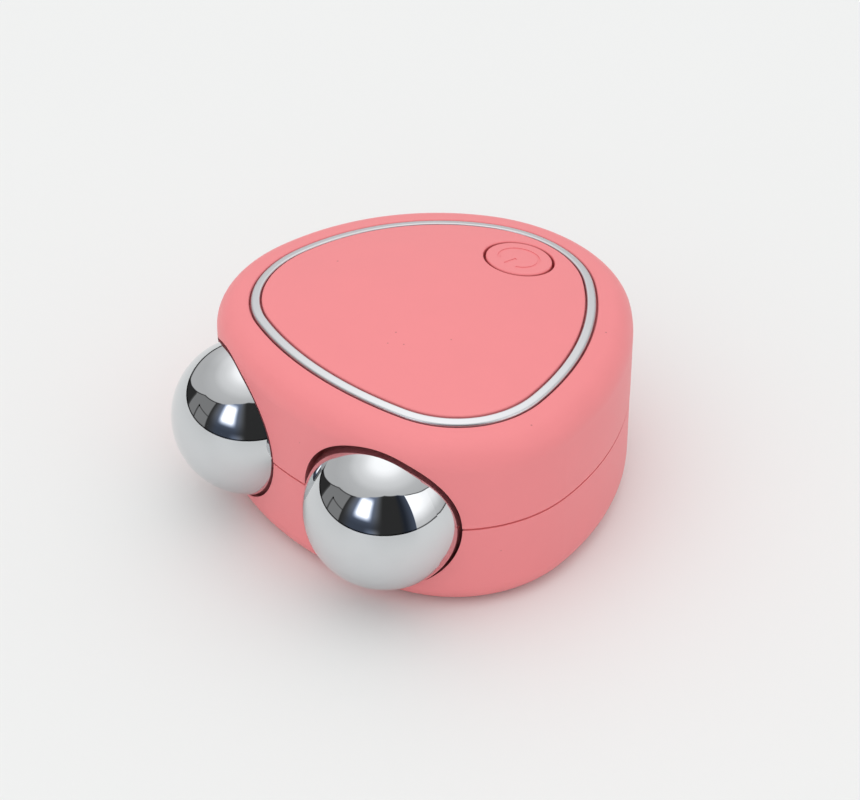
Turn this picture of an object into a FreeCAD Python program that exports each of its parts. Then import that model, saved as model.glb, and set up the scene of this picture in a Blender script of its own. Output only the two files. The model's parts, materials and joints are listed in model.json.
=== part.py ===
import FreeCAD, Part
import math
import os

from FreeCAD import Vector

# Facial massager with two rolling balls. Millimetres and degrees.
# +Y points from the balls to the rear, +Z up, the origin is on the ground under the middle.

# Balls and their pockets
ball_diameter = 24.4
ball_spacing = 30.3
ball_drop = 1.95
ball_overhang = 6.55
ball_wall = 1.6
ball_hub_wall = 1.8
pocket_gap = 0.55
pocket_rise = 0.3
pocket_shift = 0.1
bowl_wall = 1.5

# Case
case_length = 62.5
case_height = 33.3
case_rear_radius = 24.8
case_side_radius = 45.5
case_corner_radius = 21.5
case_front_radius = 46.3
case_corner_spacing = 21.6
dome_radius = 118.0
dome_setback = 1.1
top_edge_radius = 4.2
bottom_edge_radius = 3.9
wall = 2.0
floor_thickness = 2.0
shelf_thickness = 1.4

# Seam between the two shells
seam_rise = 0.6
seam_step = 0.03
seam_reveal_height = 0.36
seam_reveal_depth = 0.6
lip_thickness = 0.9
lip_height = 1.2
lip_clearance = 0.1

# Top cover and trim ring
cover_thickness = 1.2
adhesive_gap = 0.05
ring_front_inset = 6.3
ring_rear_inset = 6.1
ring_width = 1.45
ring_gap = 0.26
ring_proud = 0.03
ring_edge_radius = 0.35
cover_edge_radius = 0.25
ring_rear_radius_share = 0.685
ring_side_radius_share = 0.888
ring_corner_radius_share = 0.735
ring_front_radius_share = 0.995
ring_corner_spacing_share = 0.941

# Button and its switch
button_setback = 14.5
button_diameter = 10.3
button_gap = 0.38
button_flange_width = 1.0
button_flange_thickness = 0.9
button_flange_gap = 0.15
button_shelf_gap = 0.4
button_stem_radius = 1.8
button_travel = 0.35
button_edge_radius = 0.3
symbol_radius = 3.1
symbol_line = 0.45
symbol_depth = 0.1
symbol_open_angle = 70.0
symbol_bar_shares = (0.2, 1.0)
switch_side = 6.0
switch_height = 3.5
plunger_radius = 1.7
plunger_rise = 0.9
plunger_depth = 0.7
plunger_clearance = 0.1

# Axles and bearings
axle_end_spacing = 7.25
axle_radius = 1.5
axle_seat_depth = 9.0
axle_tip = 1.0
running_clearance = 0.05
seat_clearance = 0.03
bush_wall = 0.85
bush_nose_gap = 0.3
bush_flange_width = 0.9
bush_flange_thickness = 0.8
bush_length = 5.3
washer_gap = 0.15
washer_width = 1.4
washer_thickness = 0.5
clip_thickness = 0.5
clip_play = 0.05
clip_groove_depth = 0.4
clip_width = 1.5
clip_mouth = 2.0
contact_gap = 0.1
contact_thickness = 0.25
contact_width = 3.4
contact_tab = 2.4

# Ball carrier
carrier_gap = 0.3
carrier_wall = 0.9
carrier_side_wall = 1.5
carrier_bridge_thickness = 3.0
carrier_ear_radius = 2.5
carrier_ear_thickness = 3.0
carrier_ear_share = 0.4

# Fasteners
screw_radius = 1.0
screw_head_radius = 1.9
screw_head_height = 1.4
screw_drive_width = 0.5
screw_drive_depth = 0.6
screw_thread_bite = 0.12
screw_hole_clearance = 0.15
screw_head_clearance = 0.2
case_screw_length = 12.0
case_screw_bite = 6.0
small_screw_length = 5.0
boss_radius = 3.0
boss_pad_gap = 0.5
boss_battery_gap = 0.75
boss_bowl_overlap = 0.6
board_screw_edge_gap = 0.5
post_radius = 2.2
front_boss_turn = 25.0
rear_post_turn = 26.0
front_post_place_shares = (0.72, 0.17)

# Main board and what is soldered to it
board_thickness = 1.0
board_inset = 3.2
board_carrier_gap = 0.5
board_bowl_gap = 1.2
board_boss_gap = 0.3
chip_side = 7.0
chip_height = 1.0
inductor_side = 6.0
inductor_height = 3.0
inductor_core_share = 0.72
small_part_length = 2.0
small_part_width = 1.25
small_part_height = 0.8
chip_place_shares = (-0.34, 0.2)
inductor_place_shares = (0.34, 0.32)
small_part_place_shares = ((-0.5, 0.42), (-0.3, 0.5), (-0.1, 0.2), (0.1, 0.1), (0.3, 0.08), (0.55, 0.3))
plug_width = 6.0
plug_depth = 4.0
plug_height = 3.4
plug_rear_gap = 4.6

# Charging socket
socket_width = 8.94
socket_height = 3.26
socket_depth = 7.35
socket_wall = 0.3
socket_setback = 0.8
socket_opening_gap = 0.25
tongue_width = 6.7
tongue_thickness = 0.7
tongue_length = 4.5

# Battery
battery_width = 20.0
battery_thickness = 6.5
battery_corner_radius = 1.5
battery_post_gap = 0.15
battery_contact_gap = 0.4
battery_pad_thickness = 0.8
battery_side_gap = 0.3
battery_rib_thickness = 1.0
battery_rib_height = 4.0
lead_radius = 0.5
lead_spacing = 3.0

# Vibration motor
motor_radius = 2.0
motor_length = 8.0
motor_rear_gap = 4.0
motor_shaft_radius = 0.4
motor_shaft_reach = 3.9
motor_shaft_depth = 6.5
weight_radius = 1.8
weight_length = 3.0
weight_gap = 0.6
sleeve_wall = 0.6
sleeve_length = 5.0
sleeve_clearance = 0.05
motor_lead_spacing = 2.0
motor_lead_reach = 0.8
lead_bend_radius = 1.0

# Base pad
pad_inset = 6.0
pad_thickness = 0.8
pad_proud = 0.3
pad_side_gap = 0.15

# How far a cutting tool runs past what it cuts, and how close counts as the same place
overrun = 1.0
same_place = 0.001

# Places that follow from the sizes above
ball_radius = ball_diameter / 2
ball_x = ball_spacing / 2
half_length = (case_length + ball_overhang) / 2
ball_y = ball_radius - half_length
case_rear_y = half_length
case_front_y = case_rear_y - case_length
base_z = pad_proud
ball_z = base_z + case_height / 2 - ball_drop
ball_centre = Vector(ball_x, ball_y, ball_z)
floor_z = base_z + floor_thickness
seam_z = ball_z + seam_rise
dome_top_z = base_z + case_height
dome_centre = Vector(0, -dome_setback, dome_top_z - dome_radius)
pocket_radius = ball_radius + pocket_gap
pocket_centre = ball_centre + Vector(-pocket_shift, 0, pocket_rise)
bowl_radius = pocket_radius + bowl_wall
recess_depth = cover_thickness + adhesive_gap
top_thickness = recess_depth + shelf_thickness
rear_centre = Vector(0, case_rear_y - case_rear_radius, 0)

# Distances along an axle, counted from the ball's centre into the case
bush_bore_radius = axle_radius + running_clearance
bush_radius = bush_bore_radius + bush_wall
bush_flange_radius = bush_radius + bush_flange_width
bush_nose_at = ball_radius + bush_nose_gap
flange_at = bowl_radius + pocket_shift + carrier_gap
barrel_at = flange_at + bush_flange_thickness
bush_end_at = barrel_at + bush_length
washer_at = bush_end_at + washer_gap
groove_at = washer_at + washer_thickness + clip_play
clip_at = groove_at + clip_play
groove_end_at = clip_at + clip_thickness + clip_play
axle_start_at = ball_radius - axle_seat_depth
axle_end_at = groove_end_at + axle_tip
contact_at = axle_end_at + contact_gap

carrier_half_height = bush_radius + carrier_wall
carrier_half_width = bush_flange_radius + carrier_side_wall - bush_flange_width
board_bottom_z = ball_z + carrier_half_height + board_carrier_gap
board_top_z = board_bottom_z + board_thickness
board_front_y = ball_y + bowl_radius + board_bowl_gap
button_radius = button_diameter / 2
button_y = case_rear_y - button_setback
plunger_top_z = board_top_z + switch_height + plunger_rise
socket_mouth_y = case_rear_y - socket_setback
battery_bottom_z = floor_z + battery_pad_thickness
battery_top_z = battery_bottom_z + battery_thickness
rear_post_reach = case_rear_radius - board_inset - screw_head_radius - board_screw_edge_gap
rear_post_angle = math.radians(rear_post_turn)
rear_post = rear_centre + Vector(math.sin(rear_post_angle), math.cos(rear_post_angle), 0) * rear_post_reach
battery_rear_y = rear_post.y - post_radius - battery_post_gap
motor_x = -(motor_length + weight_gap + weight_length) / 2
motor_y = battery_rear_y - motor_rear_gap
motor_z = battery_top_z + sleeve_wall + sleeve_clearance + motor_radius
weight_x = motor_x + motor_length + weight_gap
pad_seat_z = pad_thickness
root_z = (pad_seat_z + floor_z) / 2

axle_sine = (ball_x - axle_end_spacing / 2) / axle_end_at
inward = Vector(-axle_sine, math.sqrt(1 - axle_sine ** 2), 0)
sideways = Vector(inward.y, -inward.x, 0)
up = Vector(0, 0, 1)
rearward = Vector(0, 1, 0)
rightward = Vector(1, 0, 0)
contact_rear_y = ball_y + inward.y * (contact_at + contact_thickness) + sideways.y * contact_width / 2
battery_front_y = contact_rear_y + battery_contact_gap


def along_axle(distance):
    """Point on the right-hand axle at a distance from the ball's centre."""
    return ball_centre + inward * distance


def turned(centre, distance, angle):
    """Point at a distance from a centre, turned from the rear towards the right."""
    turn = math.radians(angle)
    return centre + Vector(math.sin(turn), math.cos(turn), 0) * distance


def mirrored(shape):
    """The left-hand twin of a right-hand piece."""
    return shape.mirror(Vector(0, 0, 0), Vector(1, 0, 0))


def both(shape):
    """A right-hand shape and its left-hand twin."""
    return [shape, mirrored(shape)]


def cylinder(radius, start, direction, length):
    return Part.makeCylinder(radius, length, start, direction)


def block(low, high):
    size = high - low
    return Part.makeBox(size.x, size.y, size.z, low)


def tube(outer, inner, start, direction, length):
    past = direction * overrun
    bore = cylinder(inner, start - past, direction, length + overrun + overrun)
    return cylinder(outer, start, direction, length).cut(bore)


def axle_block(near, far, half_width, half_height):
    """A block that lies along the right-hand axle, between two distances from the ball."""
    side = sideways * half_width
    drop = up * half_height
    start = along_axle(near) - drop
    end = along_axle(far) - drop
    face = Part.Face(Part.makePolygon([start - side, start + side, end + side, end - side, start - side]))
    return face.extrude(up * (half_height + half_height))


def rounded_triangle(front_y, rear_y, rear_radius, side_radius, corner_radius, front_radius, corner_x):
    """Centres and radii of the tangent arcs of the right half, from the rear to the front."""
    rear = Vector(0, rear_y - rear_radius, 0)
    front = Vector(0, front_y + front_radius, 0)
    corner_drop = math.sqrt((front_radius - corner_radius) ** 2 - corner_x ** 2)
    corner = Vector(corner_x, front.y - corner_drop, 0)
    gap = corner - rear
    reach = side_radius - rear_radius
    span = (reach ** 2 - (side_radius - corner_radius) ** 2 + gap.Length ** 2) / (2 * gap.Length)
    ahead = Vector(gap).normalize()
    aside = Vector(ahead.y, -ahead.x, 0)
    side = rear + ahead * span + aside * math.sqrt(reach ** 2 - span ** 2)
    return {
        "rear": (rear, rear_radius),
        "side": (side, side_radius),
        "corner": (corner, corner_radius),
        "front": (front, front_radius),
    }


def flip(point):
    """The left-hand twin of a right-hand point."""
    return Vector(-point.x, point.y, point.z)


def arc(centre, start, end):
    middle = (start - centre) + (end - centre)
    middle = centre + middle.normalize() * (start - centre).Length
    return Part.Arc(start, middle, end).toShape()


def outline_face(form, inset, z):
    """The face inside a rounded triangle, moved in from its edge by an inset."""
    lift = Vector(0, 0, z)
    centres = {name: centre + lift for name, (centre, radius) in form.items()}
    radii = {name: radius - inset for name, (centre, radius) in form.items()}

    def join(outer, inner):
        direction = (centres[inner] - centres[outer]).normalize()
        return centres[outer] + direction * radii[outer]

    rear_join = join("side", "rear")
    side_join = join("side", "corner")
    front_join = join("front", "corner")
    edges = [
        arc(centres["rear"], flip(rear_join), rear_join),
        arc(centres["side"], rear_join, side_join),
        arc(centres["corner"], side_join, front_join),
        arc(centres["front"], front_join, flip(front_join)),
        arc(flip(centres["corner"]), flip(front_join), flip(side_join)),
        arc(flip(centres["side"]), flip(side_join), flip(rear_join)),
    ]
    return Part.Face(Part.Wire(edges))


def prism(form, inset, low, high):
    return outline_face(form, inset, low).extrude(up * (high - low))


def dome(depth):
    """The ball whose surface lies a depth below the top of the case."""
    return Part.makeSphere(dome_radius - depth, dome_centre)


def dome_edges(shape, depth):
    """The edges of a shape that lie on the dome at a depth."""
    def on_dome(edge):
        middle = edge.valueAt((edge.FirstParameter + edge.LastParameter) / 2)
        return abs((middle - dome_centre).Length - dome_radius + depth) < same_place
    return [edge for edge in shape.Edges if on_dome(edge)]


def flat_edges(shape, z):
    """The edges of a shape that lie in a level plane."""
    def in_plane(edge):
        box = edge.BoundBox
        return abs(box.ZMin - z) + abs(box.ZMax - z) < same_place
    return [edge for edge in shape.Edges if in_plane(edge)]


def rearmost(form, inset, x):
    """The rearmost place inside a rounded triangle, moved in by an inset, at a distance from its middle."""
    line = Part.LineSegment(Vector(x, case_front_y, 0), Vector(x, case_rear_y, 0)).toShape()
    inside = line.common(outline_face(form, inset, 0))
    return Vector(x, inside.BoundBox.YMax, 0)


def one_solid(shape):
    solids = shape.removeSplitter().Solids
    if len(solids) != 1:
        raise ValueError("expected one solid, found %d" % len(solids))
    return solids[0]


case_form = rounded_triangle(
    case_front_y, case_rear_y, case_rear_radius, case_side_radius, case_corner_radius, case_front_radius,
    case_corner_spacing / 2,
)
ring_form = rounded_triangle(
    case_front_y + ring_front_inset,
    case_rear_y - ring_rear_inset,
    case_rear_radius * ring_rear_radius_share,
    case_side_radius * ring_side_radius_share,
    case_corner_radius * ring_corner_radius_share,
    case_front_radius * ring_front_radius_share,
    case_corner_spacing / 2 * ring_corner_spacing_share,
)
case_half_width = case_form["side"][0].x + case_side_radius
high_z = dome_top_z + overrun

# Right-hand places of the screw bosses, board posts and carrier ears, at ground height
front_boss_reach = bowl_radius + boss_radius - boss_bowl_overlap
front_boss = turned(Vector(pocket_centre.x, pocket_centre.y, 0), front_boss_reach, front_boss_turn)
rear_boss_inset = pad_inset + screw_head_radius + screw_head_clearance + boss_pad_gap
rear_boss = rearmost(case_form, rear_boss_inset, battery_width / 2 + boss_battery_gap + boss_radius)
front_post_x_share, front_post_y_share = front_post_place_shares
front_post = Vector(case_half_width * front_post_x_share, half_length * front_post_y_share, 0)
ear_at = barrel_at + bush_length * carrier_ear_share
ear_centre = along_axle(ear_at) + sideways * (carrier_half_width + carrier_ear_radius)
ear_top_z = ball_z - carrier_half_height + carrier_ear_thickness
ear_bottom_z = ball_z - carrier_half_height
boss_places = [front_boss, rear_boss]
board_post_places = [front_post, rear_post]
thread_radius = screw_radius - screw_thread_bite
case_screw_seat_z = seam_z + case_screw_bite - case_screw_length


def at_height(place, z):
    return Vector(place.x, place.y, z)


def pockets():
    return both(Part.makeSphere(pocket_radius, pocket_centre))


def bowls(extra):
    return both(Part.makeSphere(bowl_radius + extra, pocket_centre))


def axle_holes():
    """Clearance holes for the bushes through the walls of the bowls."""
    radius = bush_radius + seat_clearance
    return both(cylinder(radius, along_axle(ball_radius), inward, flange_at - ball_radius))


def socket_profile(grow, y):
    """The charging socket's outline, a slot with round ends, grown all round."""
    half_height = socket_height / 2 + grow
    flat = (socket_width - socket_height) / 2
    middle_z = board_top_z + socket_height / 2
    top_left = Vector(-flat, y, middle_z + half_height)
    top_right = Vector(flat, y, middle_z + half_height)
    low_left = Vector(-flat, y, middle_z - half_height)
    low_right = Vector(flat, y, middle_z - half_height)
    right_tip = Vector(flat + half_height, y, middle_z)
    left_tip = Vector(-flat - half_height, y, middle_z)
    edges = [
        Part.LineSegment(top_left, top_right).toShape(),
        Part.Arc(top_right, right_tip, low_right).toShape(),
        Part.LineSegment(low_right, low_left).toShape(),
        Part.Arc(low_left, left_tip, top_left).toShape(),
    ]
    return Part.Face(Part.Wire(edges))


def lip_ring(grow, bottom, top, bowl_extra):
    """The band inside the wall where the lower shell's lip reaches into the upper shell."""
    outer = prism(case_form, wall - lip_thickness - grow, bottom, top)
    inner = prism(case_form, wall, bottom - overrun, top + overrun)
    return outer.cut(inner).cut(bowls(bowl_extra))


def make_upper_shell():
    body = prism(case_form, 0, base_z, high_z).common(dome(0))
    body = body.makeFillet(top_edge_radius, dome_edges(body, 0))
    below_seam = prism(case_form, -overrun, base_z - overrun, seam_z)
    body = body.cut(below_seam)
    hollow = prism(case_form, wall, seam_z - overrun, high_z).common(dome(top_thickness))
    hollow = hollow.cut(bowls(0))
    for place in boss_places:
        boss = cylinder(boss_radius, at_height(place, seam_z - overrun), up, case_height)
        hollow = hollow.cut(both(boss))
    recess = prism(ring_form, -ring_width / 2 - ring_gap, seam_z, high_z).cut(dome(recess_depth))
    body = body.cut(recess)
    body = body.makeFillet(cover_edge_radius, dome_edges(body, 0))
    shelf_hole_radius = button_radius + button_flange_width + button_shelf_gap
    shelf_hole = cylinder(shelf_hole_radius, Vector(0, button_y, seam_z), up, case_height)
    opening_y = case_rear_y - wall - overrun
    opening = socket_profile(socket_opening_gap, opening_y).extrude(rearward * (wall + overrun + overrun))
    lip_recess = lip_ring(lip_clearance, seam_z - overrun, seam_z + lip_height + lip_clearance, 0)
    body = body.cut([hollow, shelf_hole, opening, lip_recess] + pockets() + axle_holes())
    for place in boss_places:
        pilot_depth = case_screw_bite + overrun
        body = body.cut(both(cylinder(thread_radius, at_height(place, seam_z), up, pilot_depth)))
    return one_solid(body)


def make_lower_shell():
    body = prism(case_form, seam_step, base_z, seam_z)
    body = body.makeFillet(bottom_edge_radius, flat_edges(body, base_z))
    hollow = prism(case_form, wall + seam_step, floor_z, seam_z + overrun)
    hollow = hollow.makeFillet(bottom_edge_radius - wall, flat_edges(hollow, floor_z))
    hollow = hollow.cut(bowls(0))
    for place in boss_places:
        hollow = hollow.cut(both(cylinder(boss_radius, at_height(place, base_z), up, case_height)))
    hollow = hollow.cut(both(cylinder(post_radius, at_height(ear_centre, base_z), up, ear_bottom_z - base_z)))
    body = body.cut(hollow)
    reveal_low = seam_z - seam_reveal_height
    reveal = prism(case_form, -overrun, reveal_low, seam_z + overrun)
    reveal = reveal.cut(prism(case_form, seam_step + seam_reveal_depth, reveal_low - overrun, high_z))
    body = body.cut(reveal)
    lip = lip_ring(0, seam_z - lip_height, seam_z + lip_height, lip_clearance)
    body = body.fuse([lip] + board_posts() + battery_ribs())
    pad_seat = prism(case_form, pad_inset, base_z - overrun, pad_seat_z)
    body = body.cut([pad_seat] + pockets() + axle_holes())
    for place in boss_places:
        seat_height = case_screw_seat_z - base_z
        sink = cylinder(screw_head_radius + screw_head_clearance, at_height(place, base_z), up, seat_height)
        hole = cylinder(screw_radius + screw_hole_clearance, at_height(place, base_z), up, case_height)
        body = body.cut(both(sink) + both(hole))
    pilot_depth = small_screw_length + overrun
    post_tops = [at_height(ear_centre, ear_bottom_z)]
    post_tops += [at_height(place, board_bottom_z) for place in board_post_places]
    for top in post_tops:
        body = body.cut(both(cylinder(thread_radius, top - up * pilot_depth, up, pilot_depth + overrun)))
    return one_solid(body)


def board_posts():
    """Posts that stand on the floor of the lower shell and carry the main board."""
    posts = []
    for place in board_post_places:
        posts += both(cylinder(post_radius, at_height(place, root_z), up, board_bottom_z - root_z))
    return posts


def battery_ribs():
    near = battery_width / 2 + battery_side_gap
    low = Vector(near, battery_front_y, root_z)
    rear_y = battery_rear_y - battery_corner_radius
    high = Vector(near + battery_rib_thickness, rear_y, floor_z + battery_rib_height)
    return both(block(low, high))


def make_top_cover():
    cover = prism(ring_form, ring_width / 2 + ring_gap, seam_z, high_z).common(dome(0))
    hole = cylinder(button_radius + button_gap, Vector(0, button_y, seam_z), up, case_height)
    cover = cover.cut([dome(cover_thickness), hole])
    return one_solid(cover.makeFillet(cover_edge_radius, dome_edges(cover, 0)))


def make_trim_ring():
    ring = prism(ring_form, -ring_width / 2, seam_z, high_z)
    ring = ring.cut(prism(ring_form, ring_width / 2, seam_z, high_z))
    ring = ring.common(dome(-ring_proud)).cut(dome(cover_thickness))
    return one_solid(ring.makeFillet(ring_edge_radius, dome_edges(ring, -ring_proud)))


def power_symbol(top_z):
    """A ring open towards the balls, with a bar through its opening."""
    centre = Vector(0, button_y, seam_z)
    height = top_z - seam_z
    band = tube(symbol_radius + symbol_line / 2, symbol_radius - symbol_line / 2, centre, up, height)
    reach = symbol_radius + symbol_line
    half_open = reach * math.tan(math.radians(symbol_open_angle / 2))
    corners = [centre, centre + Vector(-half_open, -reach, 0), centre + Vector(half_open, -reach, 0), centre]
    band = band.cut(Part.Face(Part.makePolygon(corners)).extrude(up * height))
    near, far = [symbol_radius * share for share in symbol_bar_shares]
    bar = block(centre + Vector(-symbol_line / 2, -far, 0), centre + Vector(symbol_line / 2, -near, height))
    return Part.makeCompound([band, bar])


def make_power_button():
    axis = Vector(0, button_y, plunger_top_z)
    reach = high_z - plunger_top_z
    cap = cylinder(button_radius, axis, up, reach).common(dome(0))
    cap = cap.cut(dome(cover_thickness))
    cap = cap.makeFillet(button_edge_radius, dome_edges(cap, 0))
    flange_top = cover_thickness + button_flange_gap
    flange_radius = button_radius + button_flange_width
    flange = cylinder(flange_radius, axis, up, reach).common(dome(flange_top))
    flange = flange.cut(dome(flange_top + button_flange_thickness))
    neck = cylinder(button_radius, axis, up, reach).common(dome(cover_thickness))
    neck = neck.cut(dome(flange_top))
    stem = cylinder(button_stem_radius, axis, up, reach).common(dome(flange_top))
    body = cap.fuse([neck, flange, stem])
    skin = power_symbol(high_z).common(dome(0)).cut(dome(symbol_depth))
    return one_solid(body.cut(skin))


def make_switch_plunger():
    start = Vector(0, button_y, board_top_z + switch_height - plunger_depth)
    return cylinder(plunger_radius, start, up, plunger_depth + plunger_rise)


def make_tact_switch():
    half = switch_side / 2
    low = Vector(-half, button_y - half, board_top_z)
    body = block(low, low + Vector(switch_side, switch_side, switch_height))
    depth = plunger_depth + button_travel + plunger_clearance
    well = cylinder(
        plunger_radius + plunger_clearance,
        Vector(0, button_y, board_top_z + switch_height - depth),
        up,
        depth + overrun,
    )
    return one_solid(body.cut(well))


def make_ball():
    shell = Part.makeSphere(ball_radius, ball_centre)
    hub_radius = axle_radius + ball_hub_wall
    hub_start = axle_start_at - ball_hub_wall
    hub = cylinder(hub_radius, along_axle(hub_start), inward, ball_radius - hub_start)
    hollow = Part.makeSphere(ball_radius - ball_wall, ball_centre).cut(hub)
    bore = cylinder(axle_radius, along_axle(axle_start_at), inward, axle_seat_depth + overrun)
    return one_solid(shell.cut([hollow, bore]))


def make_axle():
    axle = cylinder(axle_radius, along_axle(axle_start_at), inward, axle_end_at - axle_start_at)
    groove_radius = axle_radius - clip_groove_depth
    groove_width = groove_end_at - groove_at
    groove = tube(axle_radius + overrun, groove_radius, along_axle(groove_at), inward, groove_width)
    return one_solid(axle.cut(groove))


def make_bush():
    bush = cylinder(bush_radius, along_axle(bush_nose_at), inward, bush_end_at - bush_nose_at)
    bush = bush.fuse(cylinder(bush_flange_radius, along_axle(flange_at), inward, bush_flange_thickness))
    bore_start = along_axle(bush_nose_at - overrun)
    return one_solid(bush.cut(cylinder(bush_bore_radius, bore_start, inward, axle_end_at)))


def make_thrust_washer():
    outer = bush_bore_radius + washer_width
    return tube(outer, bush_bore_radius, along_axle(washer_at), inward, washer_thickness)


def make_retaining_clip():
    inner = axle_radius - clip_groove_depth + seat_clearance
    clip = tube(inner + clip_width, inner, along_axle(clip_at), inward, clip_thickness)
    reach = inner + clip_width + overrun
    mouth = axle_block(clip_at - overrun, clip_at + clip_thickness + overrun, clip_mouth / 2, reach / 2)
    mouth.translate(up * (-reach / 2))
    return one_solid(clip.cut(mouth))


def make_contact():
    """A bronze leaf that hangs from the board and rests on the axle's inner end."""
    back_at = contact_at + contact_thickness
    leaf = upright_leaf(contact_at, back_at, ball_z - contact_width / 2, board_bottom_z)
    tab = upright_leaf(contact_at, back_at + contact_tab, board_bottom_z - contact_thickness, board_bottom_z)
    return one_solid(leaf.fuse(tab))


def upright_leaf(near, far, bottom, top):
    leaf = axle_block(near, far, contact_width / 2, (top - bottom) / 2)
    leaf.translate(up * ((top + bottom) / 2 - ball_z))
    return leaf


def make_ball_carrier():
    arm = axle_block(flange_at, bush_end_at, carrier_half_width, carrier_half_height)
    ear = cylinder(carrier_ear_radius, at_height(ear_centre, ear_bottom_z), up, carrier_ear_thickness)
    strip_start_at = ear_at - carrier_ear_radius
    strip_end_at = ear_at + carrier_ear_radius
    strip = axle_block(strip_start_at, strip_end_at, carrier_ear_radius / 2, carrier_ear_thickness / 2)
    strip.translate(sideways * (carrier_half_width + carrier_ear_radius / 2))
    strip.translate(up * (carrier_ear_thickness / 2 - carrier_half_height))
    screw_hole = cylinder(screw_radius + screw_hole_clearance, at_height(ear_centre, base_z), up, case_height)
    seat_radius = bush_flange_radius + seat_clearance
    flange_seat = cylinder(seat_radius, along_axle(flange_at), inward, bush_flange_thickness)
    barrel_seat = cylinder(bush_radius + seat_clearance, along_axle(flange_at), inward, axle_end_at)
    half = arm.fuse([ear, strip])
    bridge_rear = along_axle(ear_at)
    low = Vector(-bridge_rear.x, bridge_rear.y - carrier_bridge_thickness, ball_z - carrier_half_height)
    bridge = block(low, Vector(bridge_rear.x, bridge_rear.y, ball_z + carrier_half_height))
    carrier = bridge.fuse(both(half))
    return one_solid(carrier.cut(both(screw_hole) + both(flange_seat) + both(barrel_seat)))


def screw(place, seat_z, direction, length):
    """A pan head screw whose head rests on its seat, with its shank along a direction."""
    seat = at_height(place, seat_z)
    head = cylinder(screw_head_radius, seat - direction * screw_head_height, direction, screw_head_height)
    shank = cylinder(screw_radius, seat, direction, length)
    crown = seat - direction * screw_head_height
    slot_half = Vector(screw_head_radius, screw_drive_width / 2, screw_drive_depth)
    cross_half = Vector(slot_half.y, slot_half.x, slot_half.z)
    slots = [block(crown - half, crown + half) for half in (slot_half, cross_half)]
    return one_solid(head.fuse(shank).cut(slots))


def screw_group(places, seat_z, direction, length):
    screws = []
    for place in places:
        screws += both(screw(place, seat_z, direction, length))
    return Part.makeCompound(screws)


def make_main_board():
    board = prism(case_form, board_inset, board_bottom_z, board_top_z)
    front = block(
        Vector(-case_length, case_front_y - case_length, base_z),
        Vector(case_length, board_front_y, high_z),
    )
    holes = [front]
    for place in boss_places:
        holes += both(cylinder(boss_radius + board_boss_gap, at_height(place, base_z), up, case_height))
    for place in board_post_places:
        radius = screw_radius + screw_hole_clearance
        holes += both(cylinder(radius, at_height(place, base_z), up, case_height))
    return one_solid(board.cut(holes))


def board_place(shares):
    """A place on the board, by shares of its half width and of the way from its front to the button."""
    x = (case_half_width - board_inset) * shares[0]
    y = board_front_y + (button_y - board_front_y) * shares[1]
    return Vector(x, y, board_top_z)


def board_part(place, length, width, height):
    half = Vector(length / 2, width / 2, 0)
    return block(place - half, place + half + up * height)


def make_microcontroller():
    return board_part(board_place(chip_place_shares), chip_side, chip_side, chip_height)


def make_boost_inductor():
    place = board_place(inductor_place_shares)
    foot = board_part(place, inductor_side, inductor_side, inductor_height / 2)
    core = cylinder(inductor_side / 2 * inductor_core_share, place, up, inductor_height)
    return one_solid(foot.fuse(core))


def make_small_components():
    parts = []
    for shares in small_part_place_shares:
        parts.append(board_part(board_place(shares), small_part_length, small_part_width, small_part_height))
    return Part.makeCompound(parts)


def make_charging_socket():
    rear_y = socket_mouth_y - socket_depth
    shell = socket_profile(0, rear_y).extrude(rearward * socket_depth)
    cavity = socket_profile(-socket_wall, rear_y + socket_wall).extrude(rearward * socket_depth)
    middle_z = board_top_z + socket_height / 2
    low = Vector(-tongue_width / 2, rear_y, middle_z - tongue_thickness / 2)
    tongue = block(low, low + Vector(tongue_width, tongue_length, tongue_thickness))
    return one_solid(shell.cut(cavity).fuse(tongue))


def battery_box(low_z, thickness):
    low = Vector(-battery_width / 2, battery_front_y, low_z)
    return block(low, Vector(battery_width / 2, battery_rear_y, low_z + thickness))


def make_battery_cell():
    cell = battery_box(battery_bottom_z, battery_thickness)
    upright = [edge for edge in cell.Edges if edge.BoundBox.ZLength > battery_thickness / 2]
    return cell.makeFillet(battery_corner_radius, upright)


def make_battery_pad():
    pad = battery_box(floor_z, battery_pad_thickness)
    upright = [edge for edge in pad.Edges if edge.BoundBox.ZLength > battery_pad_thickness / 2]
    return pad.makeFillet(battery_corner_radius, upright)


plug_low = Vector(-plug_width / 2, case_rear_y - wall - plug_rear_gap, board_bottom_z - plug_height)


def make_battery_plug():
    return block(plug_low, plug_low + Vector(plug_width, plug_depth, plug_height))


def bent_lead(start, turn, end):
    """A round wire with one square bend, from a start through the bend's corner to an end."""
    first = (turn - start).normalize()
    second = (end - turn).normalize()
    bend_start = turn - first * lead_bend_radius
    bend_end = turn + second * lead_bend_radius
    bend_centre = bend_start + second * lead_bend_radius
    path = Part.Wire([
        Part.LineSegment(start, bend_start).toShape(),
        arc(bend_centre, bend_start, bend_end),
        Part.LineSegment(bend_end, end).toShape(),
    ])
    section = Part.Wire(Part.makeCircle(lead_radius, start, first))
    return Part.Solid(path.makePipeShell([section], True, False))


def make_battery_leads():
    start_z = battery_bottom_z + battery_thickness / 2
    rise_y = plug_low.y + plug_depth / 2
    leads = []
    for x in (-lead_spacing / 2, lead_spacing / 2):
        start = Vector(x, battery_rear_y, start_z)
        turn = Vector(x, rise_y, start_z)
        leads.append(bent_lead(start, turn, Vector(x, rise_y, plug_low.z)))
    return Part.makeCompound(leads)


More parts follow.
